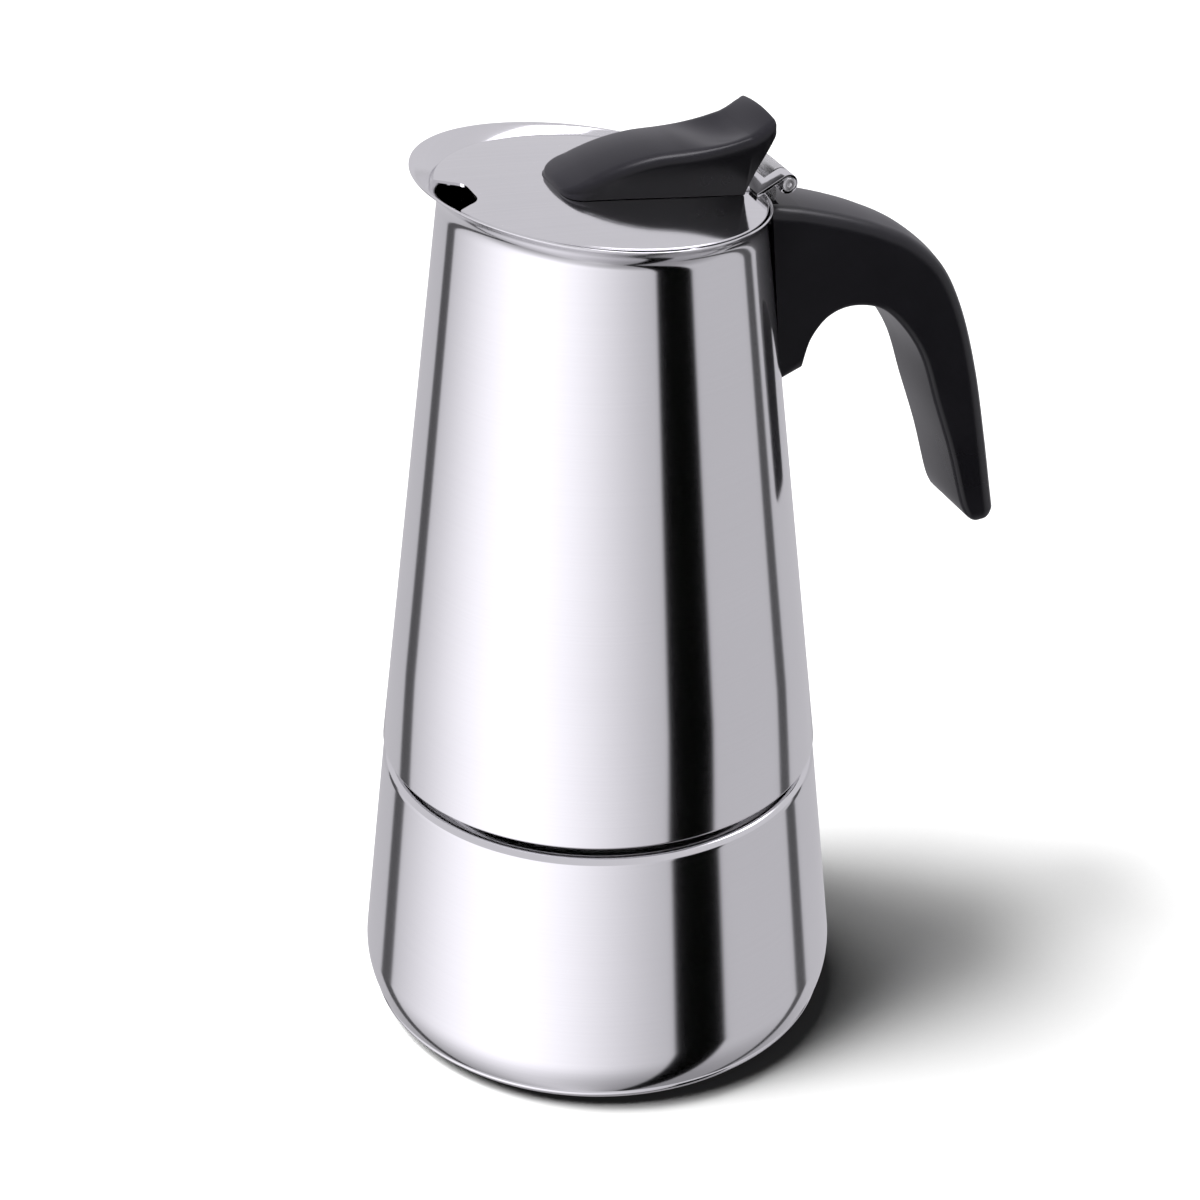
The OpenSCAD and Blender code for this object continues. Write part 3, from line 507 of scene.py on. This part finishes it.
def prism(name, outline, half_y):
    """An (x, z) outline drawn out to both sides of Y = 0."""
    rings = [[Vector((x, y, z)) for x, z in outline] for y in (-half_y, half_y)]
    return loft(name, rings)


STRAP_HALF_W, STRAP_FOOT_Z, TAB_Z = 6.3, LID_Z - 31.0, LID_Z - 20.5
SCREW_X, SCREW_SEAT_Z = 43.5, JUG_Z + 92.3
SCREW_HOLE_R, SCREW_HEAD_R = 2.1, 3.6
WALL_LOW, WALL_HIGH, WALL_GAP, RIM_CLEAR_R = JUG_Z + 60, JUG_Z + 130, 0.15, 33.4
grip_rings = [grip_ring(GRIP_ROOT, HANDLE_W / 2)]
grip_rings += [grip_ring(s, HANDLE_W / 2) for s in smooth_stations(GRIP, 8)]
grip_rings += eased_tip(GRIP[-1], GRIP_TIP, HANDLE_W / 2, 1.6)
handle = loft("handle_grip", grip_rings, SOFT_CREASE)
wall_cutter = lathe("wall_cutter", [(0, WALL_LOW), (jug_r(WALL_LOW) + WALL_GAP, WALL_LOW),
                                    (jug_r(WALL_HIGH) + WALL_GAP, WALL_HIGH), (0, WALL_HIGH)])
rim_cutter = bore("rim_cutter", RIM_CLEAR_R, -FLARE_DEPTH - 0.8, 16, LID_FRAME, 240)
slot_cutter = prism("slot_cutter",
                    [(0, STRAP_FOOT_Z - 0.3), (jug_r(STRAP_FOOT_Z) + 1.5, STRAP_FOOT_Z - 0.3),
                     (jug_r(LID_Z - 10) + 1.5, LID_Z - 10), (PIN_X + 0.3, LID_Z + 5),
                     (0, LID_Z + 5)], STRAP_HALF_W)
tab_cutter = block("tab_cutter", jug_r(TAB_Z), SCREW_X + 4.15, 1 - STRAP_HALF_W,
                   STRAP_HALF_W - 1, TAB_Z - 0.15, TAB_Z + 2.15)
screw_axis = Matrix.Translation((SCREW_X, 0, 0))
hole_cutter = bore("hole_cutter", SCREW_HOLE_R, TAB_Z - 20, TAB_Z + 8, screw_axis, 48)
seat_cutter = bore("seat_cutter", SCREW_HEAD_R, SCREW_SEAT_Z - 20, SCREW_SEAT_Z, screw_axis, 48)
cut(handle, [wall_cutter, rim_cutter, slot_cutter, tab_cutter, hole_cutter, seat_cutter],
    SOFT_CREASE)
finish_piece(handle, "jug", "black_plastic", ["handle"])

# ---- Knob ----

# Stations from the nose to the lever, in the lid's plane: place, half widths of the foot and
# the back, height of the back and of the underside where it stands off the lid
BACK = [(-10.0, 4.6, 3.9, 2.0, 0), (-9.7, 6.4, 5.6, 2.5, 0), (-9.0, 7.9, 7.1, 3.1, 0),
        (-7.7, 8.8, 8.2, 3.9, 0), (-6.0, 9.0, 8.7, 4.8, 0), (-2.3, 9.0, 8.9, 6.5, 0),
        (2.2, 9.0, 9.0, 8.1, 0), (7.4, 9.0, 9.0, 9.3, 0), (13.2, 8.8, 9.0, 9.9, 0),
        (18.9, 8.3, 9.0, 10.5, 0), (22.6, 7.9, 9.0, 11.2, 0), (25.6, 7.7, 9.0, 12.2, 0),
        (26.6, 7.8, 9.0, 12.68, 2.2), (27.8, 8.2, 9.0, 13.45, 5.6), (29.3, 8.8, 9.0, 14.6, 9.4)]
LEVER_TIP = (30.8, 8.5, 8.3, 15.3, 12.8)
KNOB_ROUND, KNOB_CROWN, KNOB_DISH, DISHED = 2.4, 0.5, 1.3, (13.0, 23.0, 30.8)
SEAT = 0.02
KNOB_HOLE_R, LID_HOLE_R = 1.65, 1.7
KNOB_SCREW_AXES = [LID_FRAME @ Matrix.Translation((x, 0, 0)) for x in KNOB_SCREWS]


def dome(r):
    """Height of the domed lid's top at a distance from its middle, in the lid's frame."""
    return LID_UP + LID_CROWN * (1 - (r / LID_R) ** 2)


def bump(x, start, peak, end):
    """Rises softly from start to 1 at peak, and falls back to 0 at end."""
    t = (x - start) / (peak - start) if x < peak else (end - x) / (end - peak)
    t = min(max(t, 0.0), 1.0)
    return t * t * (3 - 2 * t)


def knob_half(foot, top, height, under, bulge):
    edge = min(KNOB_ROUND, (height - under) * 0.6)
    flat = top - edge
    fall = 2 * bulge / flat
    soft = 0.06
    low, high = (foot, under + soft), (top, height - edge)
    middle = ((low[0] + high[0]) / 2 + 0.15, (low[1] + high[1]) / 2)
    side = bezier(low, middle, high, 6)
    corner = bezier(high, (top, height - fall * edge), (flat, height), 12)[1:]
    crown = [(flat * k, height + bulge * (1 - k * k)) for k in (0.8, 0.6, 0.4, 0.2, 0.05)]
    lowest = [tuple(p + (q - p) * 0.12 for p, q in zip(side[0], side[1]))]
    return ([(foot - soft, under), (foot - soft * 0.3, under + soft * 0.3), side[0]] + lowest
            + side[1:] + corner + crown)


def knob_ring(station):
    x, foot, top, height, under = station
    bulge = KNOB_CROWN - KNOB_DISH * bump(x, *DISHED)
    return [LID_FRAME @ Vector((x, y, z)) for y, z in
            mirrored(knob_half(foot, top, height, max(under, dome(x) + SEAT), bulge))]


knob_rings = [knob_ring(s) for s in smooth_stations(BACK, 8)]
TIP_REACH = LEVER_TIP[0] - BACK[-1][0]
for k in range(1, 9):
    s, c = math.sin(math.pi / 16 * k), 1 - math.cos(math.pi / 16 * k)
    station = [BACK[-1][0] + TIP_REACH * s]
    for before, last, tip in list(zip(BACK[-2], BACK[-1], LEVER_TIP))[1:]:
        onward = (last - before) / (BACK[-1][0] - BACK[-2][0]) * TIP_REACH
        station.append(last + onward * s + (tip - last - onward) * c)
    knob_rings.append(knob_ring(station))
knob = loft("knob_grip", knob_rings, KNOB_CREASE)
POCKET_HALF_W, POCKET_TOP = TONGUE_HALF_W + 0.3, dome(13.0) + 0.75
leaf_slot = block("leaf_slot", 12.7, 34.8, -POCKET_HALF_W, POCKET_HALF_W, 0, POCKET_TOP, LID_FRAME)
screw_holes = [bore("screw_hole", KNOB_HOLE_R, 0, 6, axis, 32) for axis in KNOB_SCREW_AXES]
cut(knob, [leaf_slot] + screw_holes, KNOB_CREASE)
finish_piece(knob, "lid", "black_plastic", ["knob"])

# ---- Lid: a domed plate with a skirt and a pouring notch ----

rolled = LID_T / 2
reach = LID_R - rolled
lid_profile = [(reach * k / 24, dome(reach * k / 24)) for k in range(25)]
lid_profile += arc(reach, dome(reach) - rolled, rolled, 80, -80, 8)
lid_profile += [(SKIRT_R, dome(SKIRT_R) - LID_T), (SKIRT_R, SKIRT_BOTTOM + 0.2),
                (SKIRT_R - 0.2, SKIRT_BOTTOM), (SKIRT_R - LID_T + 0.2, SKIRT_BOTTOM),
                (SKIRT_R - LID_T, SKIRT_BOTTOM + 0.2), (SKIRT_R - LID_T, dome(SKIRT_R) - LID_T)]
lid_profile += [(SKIRT_R * k / 8, dome(SKIRT_R * k / 8) - LID_T) for k in range(7, -1, -1)]
lid = lathe("lid_skin", lid_profile, FINE_STEPS, axis=LID_FRAME)
corner_r = NOTCH_D * 0.68
notch_half = ([(NOTCH_W / 2 + 1.2, -2.0), (NOTCH_W / 2, 0.0)]
              + arc(NOTCH_W * 0.13, NOTCH_D - corner_r, corner_r, 30, 90, 12))
notch_rings = [[LID_FRAME @ Vector((y - LID_R, x, z)) for x, y in mirrored(notch_half)]
               for z in (-10, 10)]
notch = loft("notch_cutter", notch_rings)
skirt_gap = block("skirt_cutter", -40, -10, -NOTCH_W, NOTCH_W, -10, LID_UP - LID_T, LID_FRAME)
screw_holes = [bore("screw_hole", LID_HOLE_R, -5, 5, axis, 32) for axis in KNOB_SCREW_AXES]
cut(lid, [notch, skirt_gap] + screw_holes, CREASE)
finish_piece(lid, "lid", "satin_steel", ["lid_plate"])

# ---- Hinge: the leaf rolled over the pin, and the pin ----

LEAF_RISE = math.radians(31)
LEAF_ROOT_X, LEAF_MIDDLE_X, LEAF_GAP = 13.0, 20.0, 0.05
leaf_in, leaf_out = PIN_R + LEAF_GAP, PIN_R + LEAF_GAP + LEAF_T


def on_lid_top(x):
    return LID_Z - math.tan(RIM_TILT) * x + dome(x) + SEAT


leaf_up = (-math.sin(LEAF_RISE), math.cos(LEAF_RISE))
under_leaf = [(x, on_lid_top(x)) for x in (LEAF_ROOT_X, LEAF_MIDDLE_X, 28.3)]
under_leaf += [(28.75, on_lid_top(28.6) + 0.05),
               (PIN_X + leaf_in * leaf_up[0], PIN_Z + leaf_in * leaf_up[1])]
over_leaf = [(x, on_lid_top(x) + LEAF_T) for x in (LEAF_ROOT_X, LEAF_MIDDLE_X, 28.1)]
over_leaf += [(28.5, on_lid_top(28.5) + LEAF_T + 0.1),
             (PIN_X + leaf_out * leaf_up[0], PIN_Z + leaf_out * leaf_up[1])]
leaf_outline = (over_leaf[:-1] + arc(PIN_X, PIN_Z, leaf_out, 121, -145, 40)
                + arc(PIN_X, PIN_Z, leaf_in, -145, 121, 40) + under_leaf[-2::-1])
leaf = prism("leaf_skin", leaf_outline, HINGE_HALF_W)
slot = MIDDLE_HALF_W + 0.3
leaf_cutters = [block("slot_cutter", PIN_X - 3.4, PIN_X + 6, -slot, slot, LID_Z - 10, LID_Z + 10),
                block("side_cutter", 12, 28.4, TONGUE_HALF_W, 10, LID_Z - 10, LID_Z + 10),
                block("side_cutter", 12, 28.4, -10, -TONGUE_HALF_W, LID_Z - 10, LID_Z + 10),
                bore("hole_cutter", LID_HOLE_R, -5, 5, KNOB_SCREW_AXES[1], 32)]
cut(leaf, leaf_cutters, CREASE)
soften(leaf, 0.07, CREASE)
finish_piece(leaf, "lid", "satin_steel", ["lid_leaf"])
pin_end = HINGE_HALF_W + 0.4
pin_half = [(0, pin_end - 0.15), (0.35, pin_end - 0.12), (0.5, pin_end), (PIN_R - 0.25, pin_end),
            (PIN_R - 0.07, pin_end - 0.07), (PIN_R, pin_end - 0.25)]
pin = lathe("pin_skin", pin_half + [(r, -y) for r, y in reversed(pin_half)], 64,
            axis=Matrix.Translation((PIN_X, 0, PIN_Z)) @ Matrix.Rotation(math.pi / 2, 4, "X"))
finish_piece(pin, "jug", "fastener_steel", ["hinge_pin"])

# ---- Threads on the neck and in the collar ----


def thread(name, radius, out, z0, turns, body, slot):
    """A round-backed ridge that climbs one pitch a turn; out is negative inside a collar."""
    steps = int(72 * turns)
    root = -0.15 * (1 if out > 0 else -1)
    rings = []
    for j in range(steps + 1):
        a = 2 * math.pi * turns * j / steps
        fade = min(1.0, 8 * j / steps, 8 * (steps - j) / steps)
        rise = out * math.sin(math.pi / 2 * fade)
        z = z0 + PITCH * turns * j / steps
        section = [(root, -0.9), (rise * 0.55, -0.55), (rise, -0.15), (rise, 0.15),
                   (rise * 0.55, 0.55), (root, 0.9)]
        rings.append([Vector(((radius + d) * math.cos(a), (radius + d) * math.sin(a), z + h))
                      for d, h in section])
    return finish_piece(loft(name, rings, SOFT_CREASE), body, slot)


THREAD_OUT, THREAD_START_Z = 0.85, MOUTH_Z - 8.6
thread("neck_thread", NECK_R, THREAD_OUT, THREAD_START_Z, 1.75, "boiler", "polished_steel")
thread("collar_thread", NECK_R + THREAD_ROOM, -THREAD_OUT, THREAD_START_Z + PITCH / 2 + 0.6, 1.25,
       "jug", "inner_steel")

# ---- Stage: floor, studio and camera ----

FLOOR_SIZE = 12
bpy.ops.mesh.primitive_plane_add(size=FLOOR_SIZE, location=(0, 0, 0))
floor = bpy.context.object
floor.name = "floor"
floor_material, floor_tree, floor_surface = new_material("floor_paper")
floor_grain = stretched_noise(floor_tree, (700.0, 700.0, 700.0))
floor_tree.links.new(mixed(floor_tree, floor_grain, grey(0.83), grey(0.85)),
                     floor_surface.inputs["Base Color"])
floor_surface.inputs["Roughness"].default_value = 0.9
floor_surface.inputs["Specular IOR Level"].default_value = 0.0
floor.data.materials.append(floor_material)
floor.visible_glossy = False

CAMERA_HEADING = math.radians(-111.0)
# Levels of light, and headings in degrees from the camera's side, positive to its right
WALL_LIGHT, BOX_LIGHT, BOX_HEADING, BOX_HALF_WIDTH = 0.55, 0.75, -45.0, 90.0
CEILING_LIGHT, STRIP_LIGHT = 0.65, 5.0
STUDIO_TINT = (1.0, 0.98, 1.04)
SHADOW_FILL = (0.02, 0.02, 0.0205, 1)
WHITE = (1.0, 1.0, 1.0, 1)
# Heights of a direction, from -1 straight down to 1 straight up
HORIZON_TOP, SHADED_FLOOR, STRIP_START, STRIP_FULL = 0.08, -0.55, 0.6, 0.8
# Lamps that throw the soft shadow: heading, elevation and width in degrees, and strength
LAMPS = [(170, 55, 36, 3.0), (150, 62, 50, 2.0), (170, 68, 12, 1.4)]
# Dark flags: heading, half width and how much of the light they take away
FLAGS = [(50.0, 12.0, 1.0), (-124.0, 5.0, 0.85), (117.0, 4.0, 0.85)]
FLAG_EDGE = 2.0


def maths(tree, operation, a, b=0.0):
    return shader_node(tree, "ShaderNodeMath", {0: a, 1: b}, operation=operation).outputs[0]


def eased(tree, value, low, high, to_low=0.0, to_high=1.0):
    """A soft step of value from low to high."""
    return shader_node(tree, "ShaderNodeMapRange",
                       {"Value": value, "From Min": low, "From Max": high,
                        "To Min": to_low, "To Max": to_high},
                       interpolation_type="SMOOTHSTEP").outputs[0]


world = bpy.data.worlds.new("studio")
bpy.context.scene.world = world
world.use_nodes = True
tree = world.node_tree
tree.nodes.clear()
direction = shader_node(tree, "ShaderNodeTexCoord").outputs["Generated"]
axes = shader_node(tree, "ShaderNodeSeparateXYZ", {0: direction})
height = axes.outputs["Z"]
heading = maths(tree, "ARCTAN2", axes.outputs["Y"], axes.outputs["X"])
turns = maths(tree, "DIVIDE", maths(tree, "SUBTRACT", heading, CAMERA_HEADING), 2 * math.pi)
turns = maths(tree, "SUBTRACT", maths(tree, "FRACT", maths(tree, "ADD", turns, 1.5)), 0.5)
degrees = maths(tree, "MULTIPLY", turns, 360.0)


def off(middle):
    """How many degrees a heading lies to either side of middle."""
    return maths(tree, "ABSOLUTE", maths(tree, "SUBTRACT", degrees, middle))


# Pale walls with one large soft box on the left, and dark flags that stand before them
walls = maths(tree, "ADD", eased(tree, off(BOX_HEADING), BOX_HALF_WIDTH, 0.0, 0.0, BOX_LIGHT),
              WALL_LIGHT)
for middle, half_width, strength in FLAGS:
    passed = eased(tree, off(middle), half_width, half_width + FLAG_EDGE, 1.0 - strength, 1.0)
    walls = maths(tree, "MULTIPLY", walls, passed)
# The floor is darker where the pot shades it
walls = maths(tree, "MULTIPLY", walls, eased(tree, height, SHADED_FLOOR, -1.0, 1.0, 0.5))
# A pale ceiling with a strip light along X
across = maths(tree, "ABSOLUTE", axes.outputs["Y"])
strip = maths(tree, "MULTIPLY", eased(tree, axes.outputs["X"], 0.05, 0.2),
              eased(tree, across, 0.2, 0.1, 0.0, STRIP_LIGHT))
strip = maths(tree, "MULTIPLY", strip, eased(tree, height, STRIP_START, STRIP_FULL))
sky = maths(tree, "ADD", strip, CEILING_LIGHT)
light = maths(tree, "ADD", maths(tree, "MULTIPLY", sky, eased(tree, height, 0.0, HORIZON_TOP)),
              maths(tree, "MULTIPLY", walls, eased(tree, height, HORIZON_TOP, 0.0)))
panels = shader_node(tree, "ShaderNodeVectorMath", {0: STUDIO_TINT, "Scale": light},
                     operation="SCALE").outputs[0]
# Mirror images see the studio, the camera sees white, and matt surfaces get little but the lamps
rays = shader_node(tree, "ShaderNodeLightPath")
mirrored_view = maths(tree, "MULTIPLY", rays.outputs["Is Glossy Ray"],
                      maths(tree, "LESS_THAN", rays.outputs["Diffuse Depth"], 0.5))
diffuse_or_glossy = mixed(tree, mirrored_view, SHADOW_FILL, panels)
seen = mixed(tree, rays.outputs["Is Camera Ray"], diffuse_or_glossy, WHITE)
background = shader_node(tree, "ShaderNodeBackground", {"Color": seen, "Strength": 1.0})
world_output = tree.nodes.new("ShaderNodeOutputWorld")
tree.links.new(background.outputs[0], world_output.inputs["Surface"])
world.cycles.sampling_method = "NONE"

for heading_deg, elevation_deg, width_deg, strength in LAMPS:
    a, e = math.radians(heading_deg), math.radians(elevation_deg)
    lamp_data = bpy.data.lights.new("lamp", "SUN")
    lamp_data.energy = strength
    lamp_data.angle = math.radians(width_deg)
    lamp = bpy.data.objects.new("lamp", lamp_data)
    toward = Vector((math.cos(e) * math.cos(a), math.cos(e) * math.sin(a), math.sin(e)))
    lamp.rotation_euler = toward.to_track_quat("Z", "Y").to_euler()
    lamp.visible_glossy = False
    bpy.context.scene.collection.objects.link(lamp)

# The photograph's camera: focal length and shift over the image's width, angles, and place
IMAGE_WIDTH, FOCAL, SHIFT_X, SHIFT_Y = 1200.0, 2793.2, 1.05, -0.05
SENSOR = 36.0
CAMERA_OUT, CAMERA_UP = 0.4966, 0.37125
SIGHT = math.radians(21)
PITCH_DOWN = math.radians(29.32)
ROLL = math.radians(0.31)
forward = Vector((math.sin(SIGHT) * math.cos(PITCH_DOWN), math.cos(SIGHT) * math.cos(PITCH_DOWN),
                  -math.sin(PITCH_DOWN)))
right = Vector((math.cos(SIGHT), -math.sin(SIGHT), 0))
up_axis = right.cross(forward)
camera_x = right * math.cos(ROLL) + up_axis * math.sin(ROLL)
camera_y = up_axis * math.cos(ROLL) - right * math.sin(ROLL)
camera_data = bpy.data.cameras.new("camera")
camera_data.sensor_width = SENSOR
camera_data.lens = SENSOR * FOCAL / IMAGE_WIDTH
camera_data.shift_x = SHIFT_X / IMAGE_WIDTH
camera_data.shift_y = SHIFT_Y / IMAGE_WIDTH
camera = bpy.data.objects.new("camera", camera_data)
place = Matrix((camera_x, camera_y, -forward)).transposed().to_4x4()
place.translation = Vector((-CAMERA_OUT * math.sin(SIGHT), -CAMERA_OUT * math.cos(SIGHT),
                            CAMERA_UP))
camera.matrix_world = place
bpy.context.scene.collection.objects.link(camera)
bpy.context.scene.camera = camera
bpy.context.scene.view_settings.view_transform = "Standard"
